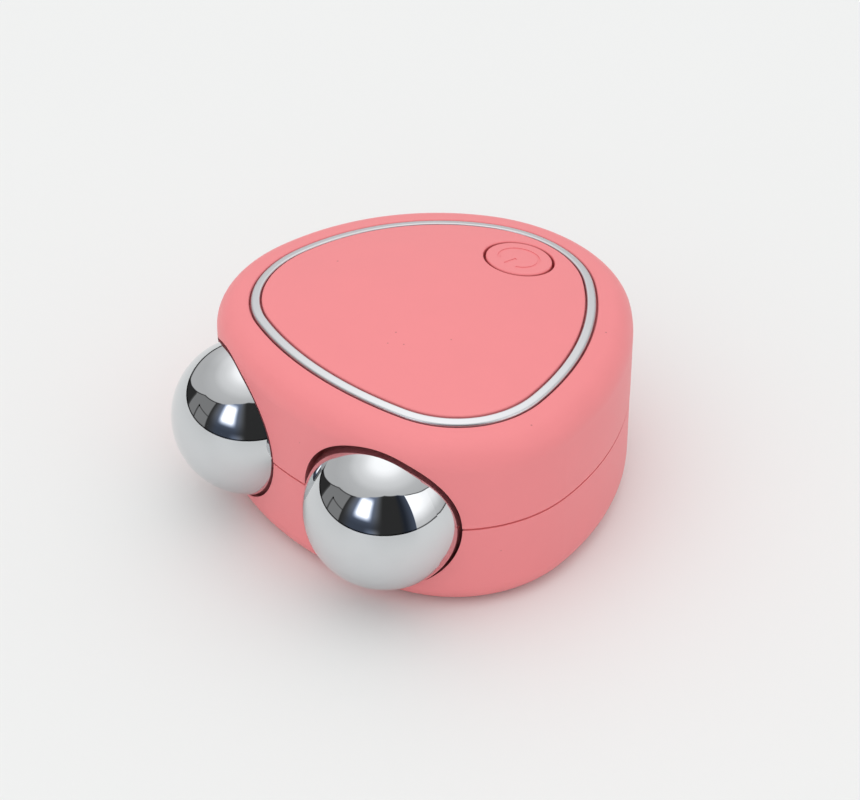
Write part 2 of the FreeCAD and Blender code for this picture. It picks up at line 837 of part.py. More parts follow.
def make_motor_leads():
    turn_x = motor_x - motor_lead_reach - lead_bend_radius
    leads = []
    for offset in (-motor_lead_spacing / 2, motor_lead_spacing / 2):
        start = Vector(motor_x, motor_y + offset, motor_z)
        turn = Vector(turn_x, motor_y + offset, motor_z)
        leads.append(bent_lead(start, turn, Vector(turn_x, motor_y + offset, board_bottom_z)))
    return Part.makeCompound(leads)


def make_motor_sleeve():
    """A rubber block on the battery that holds the motor."""
    half_width = motor_radius + sleeve_clearance + sleeve_wall
    start_x = motor_x + (motor_length - sleeve_length) / 2
    low = Vector(start_x, motor_y - half_width, battery_top_z)
    high = Vector(start_x + sleeve_length, motor_y + half_width, motor_z + half_width)
    bore_start = Vector(motor_x, motor_y, motor_z)
    return block(low, high).cut(cylinder(motor_radius + sleeve_clearance, bore_start, rightward, motor_length))


def make_motor_can():
    can = cylinder(motor_radius, Vector(motor_x, motor_y, motor_z), rightward, motor_length)
    bore_start = Vector(motor_x + motor_length - motor_shaft_depth, motor_y, motor_z)
    bore = cylinder(motor_shaft_radius + running_clearance, bore_start, rightward, motor_length)
    return one_solid(can.cut(bore))


def make_motor_shaft():
    start_x = motor_x + motor_length - motor_shaft_depth + motor_shaft_radius
    length = motor_x + motor_length + motor_shaft_reach - start_x
    return cylinder(motor_shaft_radius, Vector(start_x, motor_y, motor_z), rightward, length)


def make_eccentric_weight():
    start = Vector(weight_x, motor_y, motor_z)
    disc = cylinder(weight_radius, start, rightward, weight_length)
    hub = cylinder(motor_shaft_radius + motor_shaft_radius, start, rightward, weight_length)
    upper_half = block(
        start + Vector(-overrun, -motor_radius, 0),
        start + Vector(weight_length + overrun, motor_radius, motor_radius),
    )
    bore = cylinder(motor_shaft_radius, start, rightward, weight_length)
    return one_solid(disc.cut(upper_half).fuse(hub).cut(bore))


def make_base_pad():
    pad = prism(case_form, pad_inset + pad_side_gap, 0, pad_thickness)
    return one_solid(pad.cut(pockets()))


def save(node, shape):
    shape.exportStep("parts/" + node + ".step")


def save_pair(node, shape):
    save(node + "_right", shape)
    save(node + "_left", mirrored(shape))


os.makedirs("parts", exist_ok=True)

save("upper_shell", make_upper_shell())
save("lower_shell", make_lower_shell())
save("top_cover", make_top_cover())
save("trim_ring", make_trim_ring())
save("base_pad", make_base_pad())
save("power_button", make_power_button())
save("switch_plunger", make_switch_plunger())
save("tact_switch", make_tact_switch())

save_pair("ball", make_ball())
save_pair("axle", make_axle())
save_pair("bush", make_bush())
save_pair("thrust_washer", make_thrust_washer())
save_pair("retaining_clip", make_retaining_clip())
save_pair("contact_leaf", make_contact())
save("ball_carrier", make_ball_carrier())

save("case_screws", screw_group(boss_places, case_screw_seat_z, up, case_screw_length))
save("carrier_screws", screw_group([ear_centre], ear_top_z, -up, small_screw_length))
save("board_screws", screw_group(board_post_places, board_top_z, -up, small_screw_length))

save("main_board", make_main_board())
save("microcontroller", make_microcontroller())
save("boost_inductor", make_boost_inductor())
save("small_components", make_small_components())
save("charging_socket", make_charging_socket())
save("battery_plug", make_battery_plug())
save("battery_leads", make_battery_leads())
save("battery_cell", make_battery_cell())
save("battery_pad", make_battery_pad())

save("motor_sleeve", make_motor_sleeve())
save("motor_can", make_motor_can())
save("motor_shaft", make_motor_shaft())
save("eccentric_weight", make_eccentric_weight())
save("motor_leads", make_motor_leads())
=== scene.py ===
"""Facial massager with two roller balls: its finishes, trim ring, port contacts and studio.

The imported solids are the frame. Solids whose shape is right stay and get a finish, the trim ring and
the contacts of the charging port are made here, and the stage holds the floor, light and camera.
"""
import json
import math

import bpy
from bpy.props import FloatProperty, FloatVectorProperty, IntProperty, PointerProperty
from bpy.types import Operator, Panel, PropertyGroup
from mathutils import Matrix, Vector


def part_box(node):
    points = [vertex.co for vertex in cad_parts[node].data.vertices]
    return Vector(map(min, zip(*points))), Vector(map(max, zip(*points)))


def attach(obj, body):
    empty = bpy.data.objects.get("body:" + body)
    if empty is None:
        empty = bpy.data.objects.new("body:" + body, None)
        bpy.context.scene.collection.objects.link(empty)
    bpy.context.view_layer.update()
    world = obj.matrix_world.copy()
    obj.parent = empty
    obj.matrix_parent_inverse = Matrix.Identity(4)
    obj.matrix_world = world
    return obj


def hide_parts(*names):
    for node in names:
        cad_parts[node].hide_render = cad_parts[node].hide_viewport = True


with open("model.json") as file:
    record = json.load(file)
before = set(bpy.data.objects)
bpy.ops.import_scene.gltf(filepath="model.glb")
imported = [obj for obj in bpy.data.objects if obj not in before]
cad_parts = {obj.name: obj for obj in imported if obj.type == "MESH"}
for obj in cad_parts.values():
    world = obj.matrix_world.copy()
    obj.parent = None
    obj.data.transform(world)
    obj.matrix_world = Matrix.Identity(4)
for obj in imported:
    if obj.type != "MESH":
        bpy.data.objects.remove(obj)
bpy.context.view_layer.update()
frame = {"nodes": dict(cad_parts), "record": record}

bl_info = {
    "name": "Facial massager",
    "version": (1, 0, 0),
    "blender": (4, 5, 0),
    "location": "3D View > Sidebar > Massager",
    "description": "Finishes, trim ring, port contacts and studio of a facial massager",
    "category": "Add Mesh",
}

PHOTO_WIDTH_PIXELS = 860
PHOTO_FOCAL_PIXELS = 2800

RING_LOW, RING_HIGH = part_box("trim_ring")
SHELL_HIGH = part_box("upper_shell")[1]
COVER_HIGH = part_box("top_cover")[1]
SOCKET_LOW, SOCKET_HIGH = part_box("charging_socket")
BUTTON_LOW, BUTTON_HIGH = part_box("power_button")
RING_WIDTH = 0.00145
SLOT_OF_NODE = {part["node"]: part["material_slot"] for part in frame["record"]["subparts"]}


class Value:
    """What comes out of a node. Arithmetic on it adds Math nodes to the same board."""

    def __init__(self, board, socket):
        self.board = board
        self.socket = socket

    def out(self, name):
        """Another output of the same node."""
        return Value(self.board, self.socket.node.outputs[name])

    def math(self, operation, *others):
        return self.board.math(operation, self, *others)

    def __add__(self, other):
        return self.math("ADD", other)

    def __radd__(self, other):
        return self.board.math("ADD", other, self)

    def __sub__(self, other):
        return self.math("SUBTRACT", other)

    def __rsub__(self, other):
        return self.board.math("SUBTRACT", other, self)

    def __mul__(self, other):
        return self.math("MULTIPLY", other)

    def __rmul__(self, other):
        return self.board.math("MULTIPLY", other, self)

    def __truediv__(self, other):
        return self.math("DIVIDE", other)

    def __rtruediv__(self, other):
        return self.board.math("DIVIDE", other, self)

    def __neg__(self):
        return self.board.math("SUBTRACT", 0.0, self)

    def __abs__(self):
        return self.math("ABSOLUTE")

    def __gt__(self, other):
        return self.math("GREATER_THAN", other)

    def root(self):
        return self.math("SQRT")

    def step(self, low, high):
        """0 up to low, 1 from high on, and a smooth rise between."""
        settings = {"interpolation_type": "SMOOTHSTEP"}
        inputs = {"Value": self, "From Min": low, "From Max": high}
        return self.board.node("ShaderNodeMapRange", settings, inputs)

    def between(self, low, high, edge):
        """1 from low to high and 0 outside, with soft edges."""
        return self.step(low - edge, low + edge) * (1 - self.step(high - edge, high + edge))

    def near(self, middle, inner, outer):
        """1 within the inner distance of a middle, 0 from the outer one on, and a smooth fall between."""
        return 1 - abs(self - middle).step(inner, outer)


class Board:
    """A node tree that is wired in code."""

    def __init__(self, tree):
        self.tree = tree
        tree.nodes.clear()

    def node(self, kind, settings=None, inputs=None, output=0):
        made = self.tree.nodes.new(kind)
        for name, value in (settings or {}).items():
            if name == "stops":
                self.set_stops(made.color_ramp, value)
            else:
                setattr(made, name, value)
        for name, value in (inputs or {}).items():
            self.plug(made.inputs[name], value)
        if not made.outputs:
            return None
        return Value(self, made.outputs[output])

    def math(self, operation, *values):
        return self.node("ShaderNodeMath", {"operation": operation}, dict(enumerate(values)))

    def vector_math(self, operation, *values, output=0):
        return self.node("ShaderNodeVectorMath", {"operation": operation}, dict(enumerate(values)), output)

    def vector(self, x, y, z):
        return self.node("ShaderNodeCombineXYZ", None, {"X": x, "Y": y, "Z": z})

    def blend(self, share, first, second):
        """A colour from first at share 0 to second at share 1."""
        inputs = {"Factor": share, 6: first, 7: second}
        return self.node("ShaderNodeMix", {"data_type": "RGBA"}, inputs, 2)

    def graph(self, value, points):
        """A number read off straight lines between points, from the first place to the last."""
        low = points[0][0]
        span = points[-1][0] - low
        top = max(level for _, level in points)
        stops = []
        for place, level in points:
            share = level / top
            stops.append(((place - low) / span, (share, share, share, 1.0)))
        return top * self.node("ShaderNodeValToRGB", {"stops": stops}, {"Fac": (value - low) / span})

    def set_stops(self, ramp, stops):
        while len(ramp.elements) < len(stops):
            ramp.elements.new(1.0)
        for element, (place, colour) in zip(ramp.elements, stops):
            element.position = place
            element.color = colour

    def plug(self, socket, value):
        if isinstance(value, Value):
            self.tree.links.new(value.socket, socket)
        else:
            socket.default_value = value


class CaseFinish(PropertyGroup):
    """Finish of the moulded case."""

    plastic_colour: FloatVectorProperty(
        name="Plastic colour", description="Pink of the shells, the cover and the button",
        subtype="COLOR", default=(0.872, 0.258, 0.274), min=0.0, max=1.0)
    # Painted shade: the colour laid into the gap round the button, where little light reaches.
    gap_shade_colour: FloatVectorProperty(
        name="Gap colour", description="Deep crimson of the gap round the button",
        subtype="COLOR", default=(0.4, 0.02, 0.025), min=0.0, max=1.0)
    pad_colour: FloatVectorProperty(
        name="Pad colour", description="Deeper pink of the silicone pad underneath",
        subtype="COLOR", default=(0.62, 0.2, 0.21), min=0.0, max=1.0)
    roughness: FloatProperty(
        name="Roughness", description="How dull the soft-touch coat is",
        subtype="FACTOR", default=0.44, min=0.0, max=1.0)
    grain_size: FloatProperty(
        name="Grain size", description="Spacing of the coat's fine grain",
        unit="LENGTH", default=0.00022, min=0.00001, precision=5)
    dust_spacing: FloatProperty(
        name="Dust spacing", description="Spacing of the few specks of dust",
        unit="LENGTH", default=0.0045, min=0.0005, precision=5)
    # Place and size of the gap round the button, where shade is painted into the plastic.
    button_place: FloatVectorProperty(
        name="Button place", description="Middle of the button",
        subtype="TRANSLATION", default=(BUTTON_LOW + BUTTON_HIGH) / 2, precision=5)
    button_radius: FloatProperty(
        name="Button radius", description="Radius of the button at the gap round it",
        unit="LENGTH", default=0.00515, precision=5)
    button_gap: FloatProperty(
        name="Button gap", description="Width of the gap round the button",
        unit="LENGTH", default=0.00038, precision=5)


class BallFinish(PropertyGroup):
    """Finish of the roller balls."""

    chrome_colour: FloatVectorProperty(
        name="Chrome colour", description="Colour of the plating",
        subtype="COLOR", default=(0.67, 0.685, 0.7), min=0.0, max=1.0)
    roughness: FloatProperty(
        name="Roughness", description="Blur of the mirror finish",
        subtype="FACTOR", default=0.018, min=0.0, max=1.0)


class TrimRing(PropertyGroup):
    """Sizes and finish of the silver ring round the top cover."""

    silver_colour: FloatVectorProperty(
        name="Silver colour", description="Colour of the plated ring",
        subtype="COLOR", default=(0.69, 0.7, 0.72), min=0.0, max=1.0)
    roughness: FloatProperty(
        name="Roughness", description="Blur of the satin plating",
        subtype="FACTOR", default=0.36, min=0.0, max=1.0)
    width: FloatProperty(
        name="Width", description="Width of the ring across its top",
        unit="LENGTH", default=RING_WIDTH, precision=5)
    depth: FloatProperty(
        name="Depth", description="Depth of the ring below the dome",
        unit="LENGTH", default=0.0012, precision=5)
    proud: FloatProperty(
        name="Proud", description="Height of the ring above the dome",
        unit="LENGTH", default=0.00003, precision=5)
    edge_radius: FloatProperty(
        name="Edge radius", description="Rounding of the ring's edges",
        unit="LENGTH", default=0.00035, precision=5)
    front: FloatProperty(
        name="Front", description="Place of the ring's middle line at the ball end",
        unit="LENGTH", default=RING_LOW.y + RING_WIDTH / 2, precision=5)
    rear: FloatProperty(
        name="Rear", description="Place of the ring's middle line at the button end",
        unit="LENGTH", default=RING_HIGH.y - RING_WIDTH / 2, precision=5)
    rear_radius: FloatProperty(
        name="Rear radius", description="Arc of the middle line at the button end",
        unit="LENGTH", default=0.016988, precision=6)
    side_radius: FloatProperty(
        name="Side radius", description="Arc of the middle line along each side",
        unit="LENGTH", default=0.040404, precision=6)
    corner_radius: FloatProperty(
        name="Corner radius", description="Arc of the middle line at each front corner",
        unit="LENGTH", default=0.0158025, precision=6)
    front_radius: FloatProperty(
        name="Front radius", description="Arc of the middle line at the ball end",
        unit="LENGTH", default=0.0460685, precision=6)
    corner_place: FloatProperty(
        name="Corner place", description="Distance of a corner arc's centre from the middle",
        unit="LENGTH", default=0.0101628, precision=6)
    dome_radius: FloatProperty(
        name="Dome radius", description="Radius of the domed top",
        unit="LENGTH", default=0.118, precision=5)
    dome_place: FloatProperty(
        name="Dome place", description="Place of the dome's highest point along the case",
        unit="LENGTH", default=-0.0011, precision=5)
    dome_top: FloatProperty(
        name="Dome top", description="Height of the dome's highest point",
        unit="LENGTH", default=COVER_HIGH.z, precision=6)


class PortContacts(PropertyGroup):
    """Sizes of the gold contacts in the charging port."""

    count: IntProperty(
        name="Count", description="Contacts on each side of the tongue", default=12, min=2, max=24)
    pitch: FloatProperty(
        name="Pitch", description="Spacing of the contacts",
        unit="LENGTH", default=0.0005, precision=6)
    width: FloatProperty(
        name="Width", description="Width of a contact",
        unit="LENGTH", default=0.00026, precision=6)
    length: FloatProperty(
        name="Length", description="Length of a contact",
        unit="LENGTH", default=0.0034, precision=5)
    thickness: FloatProperty(
        name="Thickness", description="Height of a contact above the tongue",
        unit="LENGTH", default=0.00004, precision=6)
    tongue_thickness: FloatProperty(
        name="Tongue thickness", description="Thickness of the tongue that carries the contacts",
        unit="LENGTH", default=0.0007, precision=5)
    tongue_length: FloatProperty(
        name="Tongue length", description="Length of the tongue from the back of the port",
        unit="LENGTH", default=0.0045, precision=5)


class Stage(PropertyGroup):
    """Camera, light and floor."""

    azimuth: FloatProperty(
        name="Azimuth", description="Turn of the camera from the ball end",
        subtype="ANGLE", default=math.radians(46.57))
    elevation: FloatProperty(
        name="Elevation", description="Height of the camera's view",
        subtype="ANGLE", default=math.radians(37.73))
    distance: FloatProperty(
        name="Distance", description="Distance of the camera from the point that it is set from",
        unit="LENGTH", default=0.4201, precision=4)
    shift_right: FloatProperty(
        name="Right", description="Move of the camera to its right",
        unit="LENGTH", default=0.01726, precision=5)
    shift_up: FloatProperty(
        name="Up", description="Move of the camera upwards in its view",
        unit="LENGTH", default=0.00948, precision=5)
    aim_setback: FloatProperty(
        name="Aim setback",
        description="Distance from the rear of the case to the point that the camera is set from",
        unit="LENGTH", default=0.0572, precision=5)
    aim_height: FloatProperty(
        name="Aim height", description="Height of the point that the camera is set from",
        unit="LENGTH", default=0.0146, precision=5)
    floor_colour: FloatVectorProperty(
        name="Floor colour", description="Colour of the floor",
        subtype="COLOR", default=(0.836, 0.845, 0.84), min=0.0, max=1.0)
    floor_size: FloatProperty(
        name="Floor size", description="Half the width of the floor", unit="LENGTH", default=2.0)


def rgba(colour, share=1.0):
    """A colour with its alpha, lightened or darkened by a share."""
    return tuple(min(1.0, part * share) for part in colour) + (1.0,)


def new_board(name):
    material = bpy.data.materials.new(name)
    material.use_nodes = True
    return material, Board(material.node_tree)


def close_board(board, inputs):
    shader = board.node("ShaderNodeBsdfPrincipled", None, inputs)
    board.node("ShaderNodeOutputMaterial", None, {"Surface": shader})


def noise(board, spacing, detail=2.0):
    """A smooth random number over the piece, with features about a spacing apart."""
    place = board.node("ShaderNodeTexCoord", output="Object")
    return board.node("ShaderNodeTexNoise", None, {"Vector": place, "Scale": 1 / spacing, "Detail": detail})


def cells(board, spacing, feature="F1"):
    """Distance from random points that are about a spacing apart, as a share of the spacing."""
    place = board.node("ShaderNodeTexCoord", output="Object")
    return board.node("ShaderNodeTexVoronoi", {"feature": feature}, {"Vector": place, "Scale": 1 / spacing})


def uneven(board, share, colour, darkest, lightest):
    """A colour that goes from its darkest share to its lightest."""
    return board.blend(share, rgba(colour, darkest), rgba(colour, lightest))


def bump(board, height, depth, strength):
    return board.node("ShaderNodeBump", None, {"Strength": strength, "Distance": depth, "Height": height})


def button_gap(board, sizes):
    """1 on the walls of the narrow gap round the button, where shade is painted, and 0 elsewhere."""
    edge_softness = sizes.button_gap / 6
    place = board.node("ShaderNodeTexCoord", output="Object")
    away = board.vector_math("SUBTRACT", place, sizes.button_place)
    flat = board.vector_math("MULTIPLY", away, (1, 1, 0))
    radius = board.vector_math("LENGTH", flat, output="Value")
    return radius.between(sizes.button_radius, sizes.button_radius + sizes.button_gap, edge_softness)


def soft_touch_plastic(name, sizes):
    """Pink moulding with a soft-touch coat: fine grain, faint mottling, a few specks of dust, and painted
    shade in the gap round the button.
    """
    mottle_spacing = 0.006
    speck_inside, speck_outside = 0.026, 0.04
    speck_share, gap_shade_share = 0.45, 0.85
    speck_shade = 0.35
    grain_depth = 0.00002
    material, board = new_board(name)
    mottle = noise(board, mottle_spacing, 3.0)
    grain = noise(board, sizes.grain_size)
    speck = 1 - cells(board, sizes.dust_spacing).step(speck_inside, speck_outside)
    body = uneven(board, mottle, sizes.plastic_colour, 0.975, 1.025)
    body = board.blend(speck_share * speck, body, rgba(sizes.plastic_colour, speck_shade))
    # Painted shade: a deep crimson laid over the walls of the gap round the button.
    body = board.blend(gap_shade_share * button_gap(board, sizes), body, rgba(sizes.gap_shade_colour))
    close_board(board, {
        "Base Color": body,
        "Roughness": sizes.roughness + 0.1 * (mottle - 0.5) + 0.06 * (grain - 0.5),
        "Normal": bump(board, grain, grain_depth, 0.1),
        "Specular IOR Level": 0.32,
    })
    return material


def silicone(name, colour):
    """Matt moulded rubber with a fine sparked texture."""
    grain_spacing, grain_depth = 0.0004, 0.00004
    mottle_spacing = 0.004
    material, board = new_board(name)
    grain = cells(board, grain_spacing)
    mottle = noise(board, mottle_spacing, 3.0)
    close_board(board, {
        "Base Color": uneven(board, mottle, colour, 0.9, 1.05),
        "Roughness": 0.7 + 0.15 * (grain - 0.5),
        "Normal": bump(board, grain, grain_depth, 0.3),
    })
    return material


def mirror_chrome(name, sizes):
    """Polished plating with the faint smears of handling."""
    smear_spacing = 0.007
    material, board = new_board(name)
    smear = noise(board, smear_spacing, 4.0).step(0.45, 0.8)
    close_board(board, {
        "Base Color": uneven(board, smear, sizes.chrome_colour, 1.0, 0.97),
        "Metallic": 1.0,
        "Roughness": sizes.roughness + 0.035 * smear,
    })
    return material


def satin_silver(name, sizes):
    """Satin plating with a very fine grain."""
    grain_spacing = 0.0003
    mottle_spacing = 0.01
    material, board = new_board(name)
    grain = noise(board, grain_spacing, 3.0)
    mottle = noise(board, mottle_spacing)
    close_board(board, {
        "Base Color": uneven(board, mottle, sizes.silver_colour, 0.97, 1.02),
        "Metallic": 1.0,
        "Roughness": sizes.roughness + 0.03 * (grain - 0.5),
    })
    return material


def turned_metal(name, colour, roughness):
    """Machined metal: fine tool marks and uneven polish."""
    mark_spacing, mark_depth = 0.00012, 0.00001
    polish_spacing = 0.002
    material, board = new_board(name)
    marks = noise(board, mark_spacing)
    polish = noise(board, polish_spacing, 3.0)
    close_board(board, {
        "Base Color": uneven(board, polish, colour, 0.92, 1.06),
        "Metallic": 1.0,
        "Roughness": roughness + 0.15 * (polish - 0.5),
        "Normal": bump(board, marks, mark_depth, 0.15),
    })
    return material


def crinkled_foil(name, colour):
    """Aluminium pouch of a lithium cell, with shallow crinkles."""
    crinkle_spacing, crinkle_depth = 0.003, 0.0001
    polish_spacing = 0.002
    material, board = new_board(name)
    crinkle = cells(board, crinkle_spacing, "DISTANCE_TO_EDGE")
    polish = noise(board, polish_spacing, 3.0)
    close_board(board, {
        "Base Color": uneven(board, polish, colour, 0.95, 1.05),
        "Metallic": 1.0,
        "Roughness": 0.32 + 0.1 * polish,
        "Normal": bump(board, crinkle, crinkle_depth, 0.4),
    })
    return material


def plain_moulding(name, colour, roughness, spacing):
    """Uncoated moulding, foam or rubber with its own speckle and a rough surface."""
    speckle_depth = 0.00003
    material, board = new_board(name)
    speckle = noise(board, spacing, 4.0)
    close_board(board, {
        "Base Color": uneven(board, speckle, colour, 0.8, 1.15),
        "Roughness": roughness + 0.2 * (speckle - 0.5),
        "Normal": bump(board, speckle, speckle_depth, 0.2),
    })
    return material


def copper_board(name, colour):
    """Solder mask over copper: lighter where a track runs underneath."""
    track_spacing, mottle_spacing = 0.0016, 0.001
    track_inside, track_outside = 0.06, 0.1
    material, board = new_board(name)
    track = 1 - cells(board, track_spacing, "DISTANCE_TO_EDGE").step(track_inside, track_outside)
    mottle = noise(board, mottle_spacing)
    close_board(board, {
        "Base Color": uneven(board, track, colour, 1.0, 1.9),
        "Roughness": 0.32 + 0.12 * mottle,
    })
    return material


def finish_nodes(slot, material):
    """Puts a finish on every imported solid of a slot."""
    named = [node for node, its_slot in SLOT_OF_NODE.items() if its_slot == slot]
    if not named:
        raise RuntimeError("no solid takes the finish " + slot)
    for node in named:
        frame["nodes"][node].data.materials[0] = material


def new_geometry_board(name, group):
    """A geometry tree whose inputs are the lengths and counts of a property group."""
    tree = bpy.data.node_groups.new(name, "GeometryNodeTree")
    board = Board(tree)
    tree.interface.new_socket("Geometry", in_out="OUTPUT", socket_type="NodeSocketGeometry")
    named = {}
    for key, prop in group.bl_rna.properties.items():
        if prop.type == "FLOAT" and prop.unit == "LENGTH" and not prop.is_array:
            kind = "NodeSocketFloat"
        elif prop.type == "INT":
            kind = "NodeSocketInt"
        else:
            continue
        named[key] = tree.interface.new_socket(prop.name, in_out="INPUT", socket_type=kind)
    entry = board.node("NodeGroupInput")
    values = {key: entry.out(socket.name) for key, socket in named.items()}
    return board, named, values


def close_geometry_board(board, geometry, material):
    whole = board.node("GeometryNodeRealizeInstances", None, {"Geometry": geometry})
    finished = board.node("GeometryNodeSetMaterial", None, {"Geometry": whole, "Material": material})
    board.node("NodeGroupOutput", None, {"Geometry": finished})


def bake_geometry(name, board, named, group):
    """Runs a geometry tree with the sizes of a group and keeps the result as a plain mesh."""
    piece = bpy.data.objects.new(name, bpy.data.meshes.new(name))
    bpy.context.scene.collection.objects.link(piece)
    modifier = piece.modifiers.new(name, "NODES")
    modifier.node_group = board.tree
    for key, socket in named.items():
        modifier[socket.identifier] = getattr(group, key)
    graph = bpy.context.evaluated_depsgraph_get()
    mesh = bpy.data.meshes.new_from_object(piece.evaluated_get(graph), depsgraph=graph)
    piece.modifiers.remove(modifier)
    if not mesh.polygons:
        raise RuntimeError("the geometry of " + name + " came out empty")
    piece.data = mesh
    return piece


def rounded_triangle(board, sizes, count):
    """Points of the ring's middle line: six tangent arcs, found by the direction that each point faces."""
    rear_y = sizes["rear"] - sizes["rear_radius"]
    front_y = sizes["front"] + sizes["front_radius"]
    corner_x = sizes["corner_place"]
    front_reach = sizes["front_radius"] - sizes["corner_radius"]
    corner_y = front_y - (front_reach * front_reach - corner_x * corner_x).root()
    rear_reach = sizes["side_radius"] - sizes["rear_radius"]
    corner_reach = sizes["side_radius"] - sizes["corner_radius"]
    along_y = corner_y - rear_y
    gap = (corner_x * corner_x + along_y * along_y).root()
    along = (rear_reach * rear_reach - corner_reach * corner_reach + gap * gap) / (2 * gap)
    aside = (rear_reach * rear_reach - along * along).root()
    side_x = (along * corner_x + aside * along_y) / gap
    side_y = rear_y + (along * along_y - aside * corner_x) / gap

    turn = board.node("GeometryNodeInputIndex") * (math.tau / count)
    facing_x = turn.math("COSINE")
    facing_y = turn.math("SINE")
    on_corner = facing_y > (corner_y - front_y) / front_reach
    on_side = facing_y > (corner_y - side_y) / corner_reach
    on_rear = facing_y > (rear_y - side_y) / rear_reach

    def pick(front, corner, side, rear):
        return front + on_corner * (corner - front) + on_side * (side - corner) + on_rear * (rear - side)

    half = facing_x.math("SIGN")
    radius = pick(sizes["front_radius"], sizes["corner_radius"], sizes["side_radius"], sizes["rear_radius"])
    centre_x = pick(0 * corner_x, corner_x, side_x, 0 * corner_x)
    centre_y = pick(front_y, corner_y, side_y, rear_y)
    return board.vector(half * centre_x + radius * facing_x, centre_y + radius * facing_y, 0.0)


class MASSAGER_OT_case(Operator):
    """Gives the shells, the cover, the button and the pad their moulded finishes"""

    bl_idname = "massager.case"
    bl_label = "Case finish"

    def execute(self, context):
        sizes = context.scene.massager_case
        finish_nodes("case_pink", soft_touch_plastic("case_pink", sizes))
        finish_nodes("button_pink", soft_touch_plastic("button_pink", sizes))
        finish_nodes("pad_rubber", silicone("pad_rubber", sizes.pad_colour))
        return {"FINISHED"}


class MASSAGER_OT_balls(Operator):
    """Gives the two roller balls their chrome finish"""

    bl_idname = "massager.balls"
    bl_label = "Roller balls"

    def execute(self, context):
        finish_nodes("ball_chrome", mirror_chrome("ball_chrome", context.scene.massager_balls))
        return {"FINISHED"}


class MASSAGER_OT_ring(Operator):
    """Makes the silver ring: a rounded strip swept round the cover and dropped onto the dome"""

    bl_idname = "massager.ring"
    bl_label = "Trim ring"

    points_round = 512
    points_across = 88
    points_on_edge = 12

    def execute(self, context):
        group = context.scene.massager_ring
        board, named, sizes = new_geometry_board("ring_on_dome", group)
        circle = board.node("GeometryNodeCurvePrimitiveCircle", None, {"Resolution": self.points_round})
        line = rounded_triangle(board, sizes, self.points_round)
        path = board.node("GeometryNodeSetPosition", None, {"Geometry": circle, "Position": line})
        path = board.node("GeometryNodeSetCurveNormal", {"mode": "Z_UP"}, {"Curve": path})
        height = sizes["depth"] + sizes["proud"]
        strip = board.node("GeometryNodeCurvePrimitiveQuadrilateral", None,
                           {"Width": sizes["width"], "Height": height})
        strip = board.node("GeometryNodeFilletCurve", {"mode": "POLY"},
                           {"Curve": strip, "Count": self.points_on_edge, "Radius": sizes["edge_radius"]})
        strip = board.node("GeometryNodeResampleCurve", None, {"Curve": strip, "Count": self.points_across})
        ring = board.node("GeometryNodeCurveToMesh", None, {"Curve": path, "Profile Curve": strip})
        place = board.node("GeometryNodeInputPosition")
        split = board.node("ShaderNodeSeparateXYZ", None, {"Vector": place})
        x = split.out("X")
        y = split.out("Y") - sizes["dome_place"]
        dome = sizes["dome_radius"]
        fall = dome - (dome * dome - x * x - y * y).root()
        lift = sizes["dome_top"] - fall + sizes["proud"] - height / 2
        ring = board.node("GeometryNodeSetPosition", None,
                          {"Geometry": ring, "Offset": board.vector(0.0, 0.0, lift)})
        ring = board.node("GeometryNodeSetShadeSmooth", None, {"Geometry": ring})
        close_geometry_board(board, ring, satin_silver("trim_silver", group))
        piece = bake_geometry("silver_ring", board, named, group)
        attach(piece, "case")
        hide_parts("trim_ring")
        return {"FINISHED"}


class MASSAGER_OT_contacts(Operator):
    """Makes the rows of gold contacts on the tongue of the charging port"""

    bl_idname = "massager.contacts"
    bl_label = "Port contacts"

    gold_colour = (0.83, 0.6, 0.23)
    gold_roughness = 0.28

    def execute(self, context):
        group = context.scene.massager_contacts
        board, named, sizes = new_geometry_board("contact_rows", group)
        span = sizes["pitch"] * (sizes["count"] - 1)
        row = board.node("GeometryNodeMeshLine", {"mode": "OFFSET"},
                         {"Count": sizes["count"], "Offset": board.vector(sizes["pitch"], 0.0, 0.0)})
        strip = board.node("GeometryNodeMeshCube", None,
                           {"Size": board.vector(sizes["width"], sizes["length"], sizes["thickness"])})
        row = board.node("GeometryNodeInstanceOnPoints", None, {"Points": row, "Instance": strip})
        middle = (SOCKET_LOW + SOCKET_HIGH) / 2
        y = SOCKET_LOW.y + sizes["tongue_length"] - sizes["length"] / 2
        rise = (sizes["tongue_thickness"] + sizes["thickness"]) / 2
        rows = []
        for side in (-1, 1):
            place = board.vector(span / -2, y, middle.z + side * rise)
            rows.append(board.node("GeometryNodeTransform", None, {"Geometry": row, "Translation": place}))
        both = board.node("GeometryNodeJoinGeometry")
        for one in rows:
            board.tree.links.new(one.socket, both.socket.node.inputs["Geometry"])
        gold = turned_metal("contact_gold", self.gold_colour, self.gold_roughness)
        close_geometry_board(board, both, gold)
        piece = bake_geometry("port_contacts", board, named, group)
        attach(piece, "case")
        return {"FINISHED"}


